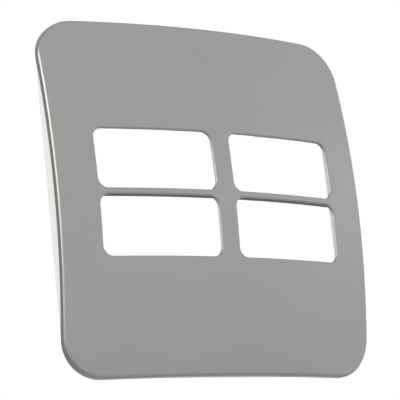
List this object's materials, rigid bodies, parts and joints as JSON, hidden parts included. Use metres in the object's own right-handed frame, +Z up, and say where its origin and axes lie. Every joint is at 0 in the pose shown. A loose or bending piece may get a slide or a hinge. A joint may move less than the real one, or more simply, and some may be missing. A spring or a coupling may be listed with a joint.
{
  "type": "switch cover plate",
  "caption": "Square domed metal cover plate with rounded corners and rows of rectangular module openings, on a white moulded clip-on back frame.",
  "frame": {"origin": "middle of the plate in the plane of the wall, which is the back of the frame's rim", "axes": "upright as on a wall: +Z up, +X to the right, the front faces -Y and the wall is on the +Y side"},
  "size_m": [0.12, 0.0156, 0.12],
  "materials": {
    "satin_steel": "satin",
    "white_plastic": "fine moulded"
  },
  "bodies": {
    "root": {"cover": "satin_steel", "back_frame": "white_plastic"}
  },
  "joints": []
}
